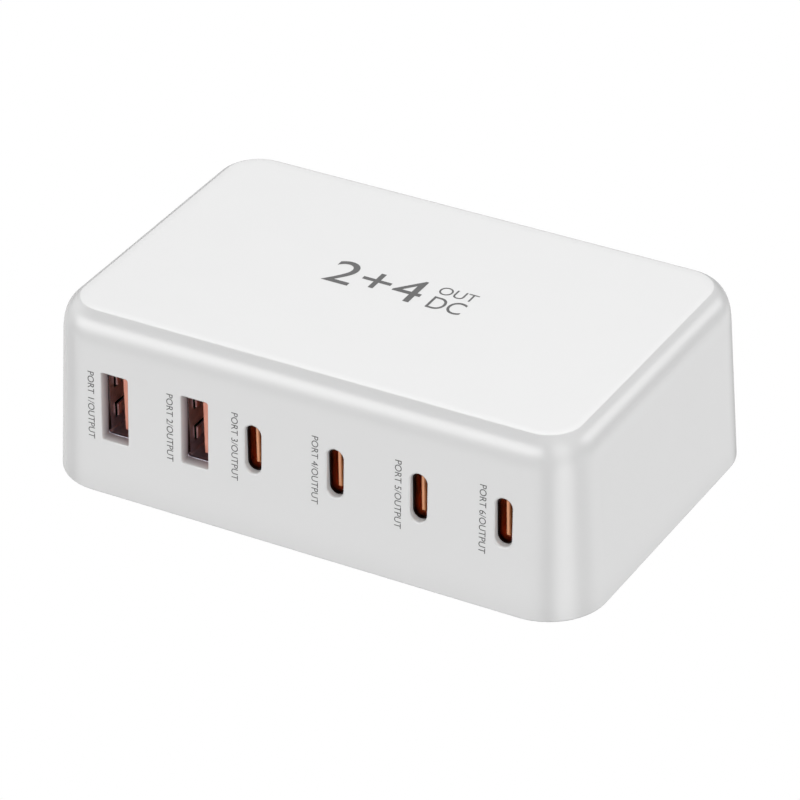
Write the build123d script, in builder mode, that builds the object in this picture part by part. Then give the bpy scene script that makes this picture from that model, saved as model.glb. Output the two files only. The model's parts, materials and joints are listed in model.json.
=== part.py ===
"""Multi-port desktop charger, built as an assembly of separate solids.

Millimetres. +Z is up, +X runs along the row of sockets to the right as seen from the front, and the
sockets face -Y. The origin is on the table, under the middle of the housing.
"""

import os
from math import cos, radians, sin, tan

from build123d import *

os.makedirs("parts", exist_ok=True)

# Housing
length = 103.0  # along X, at the base edge
depth = 67.4  # along Y, at the base edge
height = 33.0  # base edge to flat top
draft = 3.2  # degrees, on every side wall
corner_radius = 10.6  # plan corners at the base edge
shoulder_radius = 6.4  # roll from the side wall towards the top
shoulder_slice = 1.3  # how much of the roll the flat top cuts away
rim_radius = 0.5  # the crisp line between the flat top and the shoulder
base_edge = 0.3  # broken edge round the foot of the walls
wall = 2.2
lip = 1.2  # wall left beside the bottom cover
cutout_edge = 0.25  # broken edge round each cut-out

# Bottom cover, feet and screws
cover_thickness = 2.0
cover_edge_gap = 0.15
foot_drop = 0.8  # feet below the base edge
foot_radius = 5.0
foot_recess = 0.7
foot_edge = 0.4
foot_gap = 0.1
boss_inset_x = 8.5  # from the base edge to a screw
boss_inset_y = 8.7
boss_radius = 3.0
cover_boss_height = 1.6
screw_head_radius = 2.3
screw_head_height = 1.5
screw_radius = 1.2
screw_length = 9.0
screw_gap = 0.02  # thread to pilot hole
screw_slot_length = 2.6
screw_slot_width = 0.6
screw_slot_depth = 0.75
head_gap = 0.2
post_width = 4.4
post_height = 3.2
post_inset_x = 15.4  # from the main board's end
post_front = 7.0  # behind the port board's face
post_rear = 8.6  # in front of the main board's rear edge
sheet_thickness = 0.4
sheet_gap = 0.5

# Row of sockets
port_height = 16.85  # socket centres above the base edge
port_margin_left = 15.5  # base edge to the first type-A centre
port_margin_right = 13.85  # last type-C centre to the base edge
port_step = 11.25  # last type-A centre to first type-C centre

# Type-A socket, upright
a_opening_x = 5.12
a_opening_z = 12.5
a_sheet = 0.3
a_corner = 0.3  # inside corner of the sleeve
a_length = 14.0
a_cavity = 10.6
a_tongue_thickness = 1.84
a_tongue_width = 11.1
a_tongue_back = 0.25  # tongue end behind the sleeve rim
a_tongue_offset = -0.02  # contact face from the socket centre
a_tongue_edge = 0.25
a_cutout_margin = 0.04  # housing cut-out larger than the opening, each side
a_cutout_corner = 0.4
a_finger_width = 2.2
a_finger_length = 5.2
a_finger_setback = 1.4  # rim to the end of the finger's window
a_finger_gap = 0.4  # finger to its window, each side
a_finger_bend = 0.45
a_finger_z = 3.0
a_contact_width = 1.0
a_contact_thickness = 0.15
a_contact_end = 1.0  # bare tongue in front of a contact
a_contact_z = (-3.5, -1.0, 1.0, 3.5)

# Type-C socket, upright
c_opening_x = 2.56
c_opening_z = 8.34
c_sheet = 0.2
c_setback = 1.0  # sleeve rim behind the front face
c_cavity = 6.2
c_tongue_thickness = 0.7
c_tongue_width = 6.69
c_tongue_back = 0.75
c_tongue_edge = 0.15
c_root_thickness = 1.3
c_root_length = 1.1
c_cutout_margin = 0.06  # housing cut-out larger than the sleeve, each side
c_contact_pitch = 0.5
c_contact_width = 0.28
c_contact_thickness = 0.06
c_contact_end = 0.6
c_contact_places = (1, 4, 5, 6, 7, 8, 9, 12)

# Boards
board_thickness = 1.6
board_side_gap = 2.5
board_rear_gap = 1.5
main_board_front = 3.0  # in front of the port board
port_board_inset = 2.0  # shorter than the main board, each end
port_board_height = 20.5
tab_width = 6.0
tab_inset = 11.0  # outer tabs from the main board's ends
tab_tail = 1.2
slot_gap = 0.15

# Mains inlet
inlet_x = 0.0
inlet_length = 20.4
inlet_height = 13.0
inlet_depth = 15.6
inlet_corner = 1.0
nose_length = 18.8
nose_height = 11.0
nose_radius = 3.0
nose_gap = 0.15
recess_radius = 4.2
recess_waist = 5.6
recess_depth = 12.0
pin_radius = 1.2
pin_spacing = 8.6
pin_back = 1.5  # pin end behind the nose
pin_edge = 0.6
tail_thickness = 1.0
tail_out = 1.2  # tail past the board

# Power parts on the main board
part_gap = 0.5  # between neighbours
seat_gap = 0.1
bobbin_wall = 0.8
transformer_wide = 23.0
transformer_deep = 10.0
transformer_tall = 20.0
transformer_leg = 7.0
boost_wide = 13.0
boost_deep = 7.2
boost_tall = 17.5
boost_leg = 4.0
winding_inset = 0.4  # taped winding behind its bobbin's flanges
rail_gap = 0.4  # bobbin rails to the core
bulk_radius = 5.5
bulk_height = 20.0
output_radius = 3.15
output_height = 9.0
can_edge = 0.8
choke_core_radius = 8.0
choke_bore_radius = 4.6
choke_thickness = 7.0
choke_wire = 1.3
choke_base_height = 1.5
choke_saddle = 5.6
choke_half_arc = 55.0  # degrees each way from level
line_capacitor_wide = 18.0
line_capacitor_deep = 7.5
line_capacitor_tall = 14.0
line_capacitor_edge = 0.5
disc_radius = 4.5
disc_thickness = 3.6
fuse_radius = 3.6
fuse_height = 8.0
fuse_edge = 0.5
bridge_wide = 3.0
bridge_deep = 12.0
bridge_tall = 13.0
bridge_edge = 1.0
sink_plate = 1.6
sink_fin = 2.0
sink_fin_width = 1.2
sink_fin_count = 4
sink_height = 19.0
sink_length = 12.0  # between the middles of the outer fins
inductor_size = 7.0
inductor_height = 4.2
inductor_edge = 0.8

# Derived heights and places of the housing, its bosses and the sockets
lean = tan(radians(draft))
wall_run = wall / cos(radians(draft))
base_z = foot_drop
top_z = base_z + height
cover_z = base_z + cover_thickness
board_z = cover_z + post_height
deck_z = board_z + board_thickness
port_z = base_z + port_height
boss_x = length / 2 - boss_inset_x
boss_y = depth / 2 - boss_inset_y
boss_places = [(-boss_x, -boss_y), (boss_x, -boss_y), (-boss_x, boss_y), (boss_x, boss_y)]
port_pitch = (length - port_margin_left - port_margin_right - port_step) / 4
a_first_x = port_margin_left - length / 2
a_places = [a_first_x, a_first_x + port_pitch]
c_places = [a_places[-1] + port_step + k * port_pitch for k in range(4)]


def front_at(z):
    """Y of the outer front face at a height above the table."""
    return (z - base_z) * lean - depth / 2


a_top_z = port_z + a_opening_z / 2 + a_sheet
a_rim_y = front_at(a_top_z) + wall_run + seat_gap
c_rim_y = front_at(port_z) + c_setback
port_board_y = a_rim_y + a_length
c_length = port_board_y - c_rim_y
deck_inset = wall_run + (deck_z - base_z) * lean
half_board = length / 2 - deck_inset - board_side_gap
board_front_y = port_board_y - main_board_front
board_rear_y = depth / 2 - deck_inset - board_rear_gap
tab_places = [-(half_board - tab_inset), 0, half_board - tab_inset]
post_x = half_board - post_inset_x
post_rows = (port_board_y + post_front, board_rear_y - post_rear)
post_places = [(x, y) for x in (-post_x, post_x) for y in post_rows]
inlet_z = deck_z + inlet_height / 2
nose_y = -front_at(inlet_z + nose_height / 2) - seat_gap
flange_y = -front_at(inlet_z + inlet_height / 2) - wall_run - seat_gap
inlet_back_y = nose_y - inlet_depth
tail_y = inlet_back_y - tail_thickness / 2

# Derived places of the power parts: a front row behind the converter inductors, a rear row along the back
# edge, and each part beside its neighbour
front_row = port_board_y + board_thickness + inductor_height + part_gap
rear_row = board_rear_y - part_gap
boss_clear = boss_x - boss_radius - part_gap
inlet_left = inlet_x - inlet_length / 2 - part_gap
inlet_right = inlet_x + inlet_length / 2 + part_gap
wire_out = choke_wire + seat_gap
choke_wide = choke_thickness + 2 * wire_out
choke_x = -half_board + part_gap + choke_wide / 2
choke_y = front_row + choke_core_radius + wire_out
bulk_row = rear_row - bulk_radius
boost_x = choke_x + choke_wide / 2 + part_gap + boost_wide / 2
boost_half = boost_deep / 2 + (boost_wide - 2 * boost_leg) / 2
boost_y = bulk_row - bulk_radius - part_gap - boost_half
fuse_y = front_row + fuse_radius
bridge_x = boost_x + boost_wide / 2 + part_gap + bridge_wide / 2
sink_half = (sink_length + sink_fin_width) / 2
mains_sink_x = bridge_x + (bridge_wide + sink_plate) / 2
mains_sink_y = front_row + sink_half
line_capacitor_y = tail_y - tail_thickness / 2 - part_gap - line_capacitor_deep / 2
disc_y = front_row + disc_thickness / 2
bulk_left_x = bulk_radius - boss_clear
bulk_front_x = inlet_right + bulk_radius
bulk_places = [
    (bulk_left_x, bulk_row),
    (bulk_left_x + 2 * bulk_radius + part_gap, bulk_row),
    (bulk_front_x, front_row + bulk_radius),
]
transformer_x = (inlet_right + boss_clear) / 2
transformer_y = rear_row - transformer_deep / 2 - (transformer_wide - 2 * transformer_leg) / 2
output_sink_x = bulk_front_x + bulk_radius + part_gap + sink_half
output_sink_y = front_row + 2 * output_radius + part_gap + sink_plate / 2
output_spread = output_radius + part_gap / 2
output_places = [(output_sink_x + side * output_spread, front_row + output_radius) for side in (-1, 1)]

# Work planes, drawn on from the front: local X is +X and local Y is +Z
port_plane = Plane.XZ.offset(-port_board_y)
rear_plane = Plane.XZ.offset(-inlet_back_y)
deck = Plane.XY.offset(deck_z)


def save(part, name):
    """Label a finished piece and write it out."""
    part.label = name
    export_step(part, f"parts/{name}.step")


def drafted_block(inset, shoulder, top):
    """Rounded rectangle drawn up with the draft, its top edge rolled over and then sliced flat."""
    rise = top + shoulder_slice - base_z
    with BuildPart() as block:
        with BuildSketch(Plane.XY.offset(base_z)):
            RectangleRounded(length - 2 * inset, depth - 2 * inset, corner_radius - inset)
        extrude(amount=rise, taper=draft)
        fillet(block.faces().sort_by(Axis.Z)[-1].edges(), radius=shoulder)
        split(bisect_by=Plane.XY.offset(top), keep=Keep.BOTTOM)
    return block.part


# Housing: the drafted outside, a matching cavity, a seat for the cover, bosses and cut-outs
outside = drafted_block(0, shoulder_radius, top_z)
cavity = drafted_block(wall_run, shoulder_radius - wall, top_z - wall)
a_cut_x = a_opening_x + 2 * a_cutout_margin
a_cut_z = a_opening_z + 2 * a_cutout_margin
c_cut_x = c_opening_x + 2 * c_sheet + 2 * c_cutout_margin
c_cut_z = c_opening_z + 2 * c_sheet + 2 * c_cutout_margin

with BuildPart() as housing:
    add(outside)
    fillet(housing.faces().sort_by(Axis.Z)[-1].edges(), radius=rim_radius)
    chamfer(housing.faces().sort_by(Axis.Z)[0].edges(), base_edge)
    add(cavity, mode=Mode.SUBTRACT)
    with BuildSketch(Plane.XY.offset(base_z)):
        RectangleRounded(length - 2 * lip, depth - 2 * lip, corner_radius - lip)
    extrude(amount=cover_thickness, mode=Mode.SUBTRACT)
    with BuildSketch(Plane.XY.offset(cover_z + cover_boss_height)):
        with Locations(*boss_places):
            Circle(boss_radius)
    extrude(amount=height - wall / 2 - cover_thickness - cover_boss_height)
    with BuildSketch(Plane.XY.offset(cover_z + cover_boss_height)):
        with Locations(*boss_places):
            Circle(screw_radius + screw_gap)
    extrude(amount=screw_length, mode=Mode.SUBTRACT)
    with BuildSketch(Plane.XZ.offset(depth / 2)):
        with Locations(*[(x, port_z) for x in a_places]):
            RectangleRounded(a_cut_x, a_cut_z, a_cutout_corner)
        with Locations(*[(x, port_z) for x in c_places]):
            SlotOverall(c_cut_z, c_cut_x, rotation=90)
    extrude(amount=-(depth / 2 + front_at(a_top_z) + 2 * wall), mode=Mode.SUBTRACT)
    with BuildSketch(Plane.XZ.offset(-depth / 2)):
        with Locations((inlet_x, inlet_z)):
            RectangleRounded(nose_length + 2 * nose_gap, nose_height + 2 * nose_gap, nose_radius + nose_gap)
    extrude(amount=depth / 2 + front_at(inlet_z + inlet_height / 2) + 2 * wall, mode=Mode.SUBTRACT)
    front_face = max(housing.faces(), key=lambda face: len(face.inner_wires()))
    chamfer(front_face.inner_wires().edges(), cutout_edge)
save(housing.part, "housing")

# Bottom cover: plate inside the lip, screw bosses, board posts, foot recesses
with BuildPart() as bottom_cover:
    with BuildSketch(Plane.XY.offset(base_z)):
        edge = lip + cover_edge_gap
        RectangleRounded(length - 2 * edge, depth - 2 * edge, corner_radius - edge)
    extrude(amount=cover_thickness)
    with BuildSketch(Plane.XY.offset(cover_z)):
        with Locations(*boss_places):
            Circle(boss_radius)
    extrude(amount=cover_boss_height)
    with BuildSketch(Plane.XY.offset(cover_z)):
        with Locations(*post_places):
            Rectangle(post_width, post_width)
    extrude(amount=post_height)
    with BuildSketch(Plane.XY.offset(base_z)):
        with Locations(*boss_places):
            Circle(foot_radius + foot_gap)
    extrude(amount=foot_recess, mode=Mode.SUBTRACT)
    with BuildSketch(Plane.XY.offset(base_z)):
        with Locations(*boss_places):
            Circle(screw_head_radius + head_gap)
    extrude(amount=foot_recess + screw_head_height, mode=Mode.SUBTRACT)
    with BuildSketch(Plane.XY.offset(base_z)):
        with Locations(*boss_places):
            Circle(screw_radius + head_gap)
    extrude(amount=cover_thickness + cover_boss_height, mode=Mode.SUBTRACT)
save(bottom_cover.part, "bottom_cover")

# Feet, pressed into the recesses over the screws
for foot_name, place in zip(("front_left", "front_right", "rear_left", "rear_right"), boss_places):
    with BuildPart() as foot:
        with BuildSketch():
            with Locations(place):
                Circle(foot_radius)
        extrude(amount=foot_drop + foot_recess)
        chamfer(foot.edges().group_by(Axis.Z)[0], foot_edge)
    save(foot.part, f"foot_{foot_name}")

# Screws, driven up through the cover into the housing bosses
head_z = base_z + foot_recess
with BuildPart() as cover_screws:
    with BuildSketch(Plane.XY.offset(head_z)):
        with Locations(*boss_places):
            Circle(screw_head_radius)
    extrude(amount=screw_head_height)
    with BuildSketch(Plane.XY.offset(head_z)):
        with Locations(*boss_places):
            Circle(screw_radius)
    extrude(amount=screw_length)
    with BuildSketch(Plane.XY.offset(head_z)):
        with Locations(*boss_places):
            Rectangle(screw_slot_length, screw_slot_width)
            Rectangle(screw_slot_width, screw_slot_length)
    extrude(amount=screw_slot_depth, mode=Mode.SUBTRACT)
save(cover_screws.part, "cover_screws")

# Insulation sheet, lying on the cover round its posts and bosses
with BuildPart() as insulation_sheet:
    with BuildSketch(Plane.XY.offset(cover_z)):
        edge = wall_run + cover_thickness * lean + sheet_gap
        RectangleRounded(length - 2 * edge, depth - 2 * edge, corner_radius - edge)
        with Locations(*post_places):
            Rectangle(post_width + 2 * sheet_gap, post_width + 2 * sheet_gap, mode=Mode.SUBTRACT)
        with Locations(*boss_places):
            boss_window = 2 * (boss_radius + sheet_gap)
            Rectangle(boss_window, boss_window, mode=Mode.SUBTRACT)
    extrude(amount=sheet_thickness)
save(insulation_sheet.part, "insulation_sheet")

# Main board: its rear corners notched for the bosses, slotted for the port board and the inlet tails
notch_x = boss_clear + length / 2
notch_y = boss_y - boss_radius - part_gap + depth / 2
with BuildPart() as main_board:
    with BuildSketch(Plane.XY.offset(board_z)):
        with Locations((0, (board_front_y + board_rear_y) / 2)):
            Rectangle(2 * half_board, board_rear_y - board_front_y)
        with Locations(*[(side * notch_x, notch_y) for side in (-1, 1)]):
            Rectangle(length, depth, mode=Mode.SUBTRACT)
        with Locations(*[(x, port_board_y + board_thickness / 2) for x in tab_places]):
            Rectangle(tab_width + 2 * slot_gap, board_thickness + 2 * slot_gap, mode=Mode.SUBTRACT)
        with Locations(*[(inlet_x + side * pin_spacing / 2, tail_y) for side in (-1, 1)]):
            Rectangle(2 * pin_radius + 2 * slot_gap, tail_thickness + 2 * slot_gap, mode=Mode.SUBTRACT)
    extrude(amount=board_thickness)
save(main_board.part, "main_board")

# Port board: upright, standing on the main board with three tabs through it
with BuildPart() as port_board:
    with BuildSketch(port_plane):
        with Locations((0, deck_z + port_board_height / 2)):
            Rectangle(2 * (half_board - port_board_inset), port_board_height)
        with Locations(*[(x, deck_z - (board_thickness + tab_tail) / 2) for x in tab_places]):
            Rectangle(tab_width, board_thickness + tab_tail)
    extrude(amount=-board_thickness)
save(port_board.part, "port_board")


def a_sleeve(x):
    """Folded sleeve of a type-A socket, with two spring fingers bent in from each wide side."""
    finger_root = a_rim_y + a_finger_setback + a_finger_length
    with BuildPart() as sleeve:
        with BuildSketch(port_plane):
            with Locations((x, port_z)):
                RectangleRounded(a_opening_x + 2 * a_sheet, a_opening_z + 2 * a_sheet, a_corner + a_sheet)
                RectangleRounded(a_opening_x, a_opening_z, a_corner, mode=Mode.SUBTRACT)
        extrude(amount=a_length)
        with Locations(*[(x, finger_root - a_finger_length / 2, port_z + s * a_finger_z) for s in (-1, 1)]):
            window = a_finger_width + 2 * a_finger_gap
            Box(a_opening_x + 4 * a_sheet, a_finger_length, window, mode=Mode.SUBTRACT)
        for side in (-1, 1):
            inner = x + side * a_opening_x / 2
            outer = inner + side * a_sheet
            tip = finger_root - a_finger_length + a_finger_gap
            bend = side * a_finger_bend
            for level in (-1, 1):
                with BuildSketch(Plane.XY.offset(port_z + level * a_finger_z)):
                    with BuildLine():
                        Polyline(
                            (inner, finger_root + a_sheet),
                            (outer, finger_root + a_sheet),
                            (outer, finger_root),
                            (outer - bend, tip),
                            (inner - bend, tip),
                            (inner, finger_root),
                            close=True,
                        )
                    make_face()
                extrude(amount=a_finger_width / 2, both=True)
    return sleeve.part


def a_tongue(x):
    """Moulded block at the back of a type-A socket and the offset tongue that stands out of it."""
    block = a_length - a_cavity
    reach = a_length - a_tongue_back
    middle = x + a_tongue_offset + a_tongue_thickness / 2
    with BuildPart() as tongue:
        with BuildSketch(port_plane):
            with Locations((x, port_z)):
                Rectangle(a_opening_x - 2 * seat_gap, a_opening_z - 2 * seat_gap)
        extrude(amount=block)
        with BuildSketch(port_plane):
            with Locations((middle, port_z)):
                Rectangle(a_tongue_thickness, a_tongue_width)
        extrude(amount=reach)
        chamfer(tongue.faces().sort_by(Axis.Y)[0].edges(), a_tongue_edge)
    return tongue.part


def a_contacts(x):
    """Four flat contacts lying on the tongue's contact face."""
    start = a_length - a_cavity
    run = a_cavity - a_tongue_back - a_contact_end
    face = x + a_tongue_offset
    with BuildPart() as contacts:
        with BuildSketch(port_plane.offset(start)):
            with Locations(*[(face - a_contact_thickness / 2, port_z + z) for z in a_contact_z]):
                Rectangle(a_contact_thickness, a_contact_width)
        extrude(amount=run)
    return contacts.part


def c_sleeve(x):
    """Drawn sleeve of a type-C socket, a tube with full round ends."""
    with BuildPart() as sleeve:
        with BuildSketch(port_plane):
            with Locations((x, port_z)):
                SlotOverall(c_opening_z + 2 * c_sheet, c_opening_x + 2 * c_sheet, rotation=90)
                SlotOverall(c_opening_z, c_opening_x, rotation=90, mode=Mode.SUBTRACT)
        extrude(amount=c_length)
    return sleeve.part


def c_tongue(x):
    """Moulded block of a type-C socket with its thick tongue root and the thin tongue."""
    block = c_length - c_cavity
    with BuildPart() as tongue:
        with BuildSketch(port_plane):
            with Locations((x, port_z)):
                SlotOverall(c_opening_z - seat_gap, c_opening_x - seat_gap, rotation=90)
        extrude(amount=block)
        with BuildSketch(port_plane):
            with Locations((x, port_z)):
                Rectangle(c_root_thickness, c_tongue_width + c_root_thickness - c_tongue_thickness)
        extrude(amount=block + c_root_length)
        with BuildSketch(port_plane):
            with Locations((x, port_z)):
                Rectangle(c_tongue_thickness, c_tongue_width)
        extrude(amount=c_length - c_tongue_back)
        chamfer(tongue.faces().sort_by(Axis.Y)[0].edges(), c_tongue_edge)
    return tongue.part


def c_contacts(x):
    """Eight contact strips on each face of a type-C tongue."""
    start = c_length - c_cavity + c_root_length
    run = c_cavity - c_root_length - c_tongue_back - c_contact_end
    off = (c_tongue_thickness + c_contact_thickness) / 2
    middle = (c_contact_places[0] + c_contact_places[-1]) / 2
    rows = [port_z + (place - middle) * c_contact_pitch for place in c_contact_places]
    with BuildPart() as contacts:
        with BuildSketch(port_plane.offset(start)):
            with Locations(*[(x + side * off, z) for side in (-1, 1) for z in rows]):
                Rectangle(c_contact_thickness, c_contact_width)
        extrude(amount=run)
    return contacts.part


# Sockets, numbered from the middle of the row outwards as such products do
for number, x in zip((2, 1), a_places):
    save(a_sleeve(x), f"port_a{number}_sleeve")
    save(a_tongue(x), f"port_a{number}_tongue")
    save(a_contacts(x), f"port_a{number}_contacts")
for number, x in zip((4, 3, 2, 1), c_places):
    save(c_sleeve(x), f"port_c{number}_sleeve")
    save(c_tongue(x), f"port_c{number}_tongue")
    save(c_contacts(x), f"port_c{number}_contacts")

# Mains inlet: body standing on the main board, nose through the rear wall, figure-eight recess
pin_places = [(inlet_x + side * pin_spacing / 2, inlet_z) for side in (-1, 1)]
with BuildPart() as inlet_body:
    with BuildSketch(rear_plane):
        with Locations((inlet_x, inlet_z)):
            RectangleRounded(inlet_length, inlet_height, inlet_corner)
    extrude(amount=-(flange_y - inlet_back_y))
    with BuildSketch(rear_plane):
        with Locations((inlet_x, inlet_z)):
            RectangleRounded(nose_length, nose_height, nose_radius)
    extrude(amount=-inlet_depth)
    with BuildSketch(rear_plane.offset(-inlet_depth)):
        with Locations(*pin_places):
            Circle(recess_radius)
        with Locations((inlet_x, inlet_z)):
            Rectangle(pin_spacing, recess_waist)
    extrude(amount=recess_depth, mode=Mode.SUBTRACT)
    with BuildSketch(rear_plane):
        with Locations(*pin_places):
            Circle(pin_radius + screw_gap)
    extrude(amount=-inlet_depth, mode=Mode.SUBTRACT)
save(inlet_body.part, "inlet_body")

with BuildPart() as inlet_pins:
    with BuildSketch(rear_plane):
        with Locations(*pin_places):
            Circle(pin_radius)
    extrude(amount=-(inlet_depth - pin_back))
    chamfer(inlet_pins.edges().group_by(Axis.Y)[-1], pin_edge)
    with BuildSketch(rear_plane):
        tail_low = board_z - tail_out
        with Locations(*[(x, (inlet_z + pin_radius + tail_low) / 2) for x, z in pin_places]):
            Rectangle(2 * pin_radius, inlet_z + pin_radius - tail_low)
    extrude(amount=tail_thickness)
save(inlet_pins.part, "inlet_pins")


def wound_part(name, at, size, leg):
    """Gapped core with two windows, a bobbin on its middle leg, and the taped winding on the bobbin."""
    wide, deep, tall = size
    window = (wide - 2 * leg) / 2
    yoke = leg / 2
    upright = Plane.XZ.offset(-at[1])
    floor_z = deck_z + yoke + seat_gap
    clear = tall - leg - 2 * seat_gap
    flange_x = leg + 2 * window - 2 * seat_gap
    flange_y = deep + 2 * window - 2 * seat_gap
    with BuildPart() as core:
        with BuildSketch(upright):
            with Locations((at[0], deck_z + tall / 2)):
                Rectangle(wide, tall)
            for side in (-1, 1):
                with Locations((at[0] + side * (leg + window) / 2, deck_z + tall / 2)):
                    Rectangle(window, tall - leg, mode=Mode.SUBTRACT)
        extrude(amount=deep / 2, both=True)
    with BuildPart() as bobbin:
        with BuildSketch(Plane.XY.offset(floor_z)):
            with Locations(at):
                Rectangle(flange_x, flange_y)
        extrude(amount=clear)
        with BuildSketch(Plane.XY.offset(floor_z + bobbin_wall)):
            with Locations(at):
                Rectangle(flange_x + 1, flange_y + 1)
                spool_x = leg + 2 * seat_gap + 2 * bobbin_wall
                spool_y = deep + 2 * seat_gap + 2 * bobbin_wall
                Rectangle(spool_x, spool_y, mode=Mode.SUBTRACT)
        extrude(amount=clear - 2 * bobbin_wall, mode=Mode.SUBTRACT)
        with BuildSketch(Plane.XY.offset(floor_z)):
            with Locations(at):
                Rectangle(leg + 2 * seat_gap, deep + 2 * seat_gap)
        extrude(amount=clear, mode=Mode.SUBTRACT)
        with BuildSketch(deck):
            rail = window - seat_gap - rail_gap
            for side in (-1, 1):
                with Locations((at[0], at[1] + side * (flange_y - rail) / 2)):
                    Rectangle(flange_x, rail)
        extrude(amount=floor_z - deck_z)
    with BuildPart() as winding:
        with BuildSketch(Plane.XY.offset(floor_z + bobbin_wall)):
            with Locations(at):
                RectangleRounded(flange_x - 2 * seat_gap, flange_y - 2 * winding_inset, window / 2)
                Rectangle(spool_x + 2 * seat_gap, spool_y + 2 * seat_gap, mode=Mode.SUBTRACT)
        extrude(amount=clear - 2 * bobbin_wall - seat_gap)
    save(core.part, f"{name}_core")
    save(bobbin.part, f"{name}_bobbin")
    save(winding.part, f"{name}_winding")


transformer_at = (transformer_x, transformer_y)
transformer_size = (transformer_wide, transformer_deep, transformer_tall)
wound_part("transformer", transformer_at, transformer_size, transformer_leg)
wound_part("boost_inductor", (boost_x, boost_y), (boost_wide, boost_deep, boost_tall), boost_leg)


def can(at, radius, tall):
    """Sleeved aluminium can with a broken top edge."""
    with BuildPart() as body:
        with BuildSketch(deck):
            with Locations(at):
                Circle(radius)
        extrude(amount=tall)
        chamfer(body.edges().group_by(Axis.Z)[-1], can_edge)
    return body.part


for number, at in enumerate(bulk_places, start=1):
    save(can(at, bulk_radius, bulk_height), f"bulk_capacitor_{number}")
for number, at in enumerate(output_places, start=1):
    save(can(at, output_radius, output_height), f"output_capacitor_{number}")

# Filter choke: a ring core standing in a saddle, with one winding on each half
choke_at = (choke_x, choke_y)
choke_z = deck_z + choke_base_height + wire_out + choke_core_radius
ring_plane = Plane.YZ.offset(choke_x)
with BuildPart() as choke_core:
    with BuildSketch(ring_plane):
        with Locations((choke_y, choke_z)):
            Circle(choke_core_radius)
            Circle(choke_bore_radius, mode=Mode.SUBTRACT)
    extrude(amount=choke_thickness / 2, both=True)
save(choke_core.part, "choke_core")

ring_mean = (choke_core_radius + choke_bore_radius) / 2
ring_width = choke_core_radius - choke_bore_radius
winding_start = radians(choke_half_arc)
winding_plane = Plane(
    origin=(choke_x, choke_y, choke_z),
    x_dir=(1, 0, 0),
    z_dir=(0, sin(winding_start), cos(winding_start)),
)
with BuildPart() as choke_windings:
    with BuildSketch(winding_plane):
        with Locations(*[(0, side * ring_mean) for side in (-1, 1)]):
            Rectangle(choke_wide, ring_width + 2 * wire_out)
            Rectangle(choke_thickness + 2 * seat_gap, ring_width + 2 * seat_gap, mode=Mode.SUBTRACT)
    ring_axis = Axis((choke_x, choke_y, choke_z), (1, 0, 0))
    revolve(axis=ring_axis, revolution_arc=2 * choke_half_arc)
save(choke_windings.part, "choke_windings")

with BuildPart() as choke_base:
    with BuildSketch(deck):
        with Locations(choke_at):
            Rectangle(choke_wide, 2 * choke_core_radius)
    extrude(amount=choke_base_height)
    with BuildSketch(deck):
        with Locations(choke_at):
            Rectangle(choke_thickness, choke_saddle)
    extrude(amount=choke_base_height + 2 * wire_out)
    with BuildSketch(ring_plane):
        with Locations((choke_y, choke_z)):
            Circle(choke_core_radius + screw_gap)
    extrude(amount=choke_thickness, both=True, mode=Mode.SUBTRACT)
save(choke_base.part, "choke_base")

# Small mains parts
with BuildPart() as line_capacitor:
    with BuildSketch(deck):
        with Locations((inlet_x, line_capacitor_y)):
            Rectangle(line_capacitor_wide, line_capacitor_deep)
    extrude(amount=line_capacitor_tall)
    chamfer(line_capacitor.edges().filter_by(Axis.Z), line_capacitor_edge)
    chamfer(line_capacitor.faces().sort_by(Axis.Z)[-1].edges(), line_capacitor_edge)
save(line_capacitor.part, "line_capacitor")

with BuildPart() as disc_capacitor:
    with BuildSketch(Plane.XZ.offset(-disc_y)):
        with Locations((inlet_x, deck_z + disc_radius)):
            Circle(disc_radius)
        with Locations((inlet_x, deck_z + disc_radius / 2)):
            Rectangle(disc_radius, disc_radius)
    extrude(amount=disc_thickness / 2, both=True)
save(disc_capacitor.part, "disc_capacitor")

with BuildPart() as fuse:
    with BuildSketch(deck):
        with Locations((boost_x, fuse_y)):
            Circle(fuse_radius)
    extrude(amount=fuse_height)
    chamfer(fuse.edges().group_by(Axis.Z)[-1], fuse_edge)
save(fuse.part, "fuse")

with BuildPart() as bridge_rectifier:
    with BuildSketch(deck):
        with Locations((bridge_x, mains_sink_y)):
            Rectangle(bridge_wide, bridge_deep)
    extrude(amount=bridge_tall)
    chamfer(bridge_rectifier.edges().filter_by(Axis.X).group_by(Axis.Z)[-1].sort_by(Axis.Y)[0], bridge_edge)
save(bridge_rectifier.part, "bridge_rectifier")


def finned_plate(at, along):
    """Upright plate with a comb of fins on one side. The direction along runs down the plate's length."""
    pitch = sink_length / (sink_fin_count - 1)
    footing = Plane(origin=(at[0], at[1], deck_z), x_dir=along, z_dir=(0, 0, 1))
    with BuildPart() as sink:
        with BuildSketch(footing):
            Rectangle(2 * sink_half, sink_plate)
            fin_y = (sink_plate + sink_fin) / 2
            with Locations(*[(k * pitch - sink_length / 2, fin_y) for k in range(sink_fin_count)]):
                Rectangle(sink_fin_width, sink_fin)
        extrude(amount=sink_height)
    return sink.part


save(finned_plate((mains_sink_x, mains_sink_y), (0, -1, 0)), "heat_sink_mains")
save(finned_plate((output_sink_x, output_sink_y), (1, 0, 0)), "heat_sink_output")

# Converter inductors on the back of the port board
inductor_places = [sum(a_places) / len(a_places)] + c_places
for number, x in enumerate(inductor_places, start=1):
    with BuildPart() as inductor:
        with BuildSketch(port_plane.offset(-board_thickness)):
            with Locations((x, port_z)):
                Rectangle(inductor_size, inductor_size)
        extrude(amount=-inductor_height)
        chamfer(inductor.edges().filter_by(Axis.Y), inductor_edge)
    save(inductor.part, f"converter_inductor_{number}")
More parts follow.
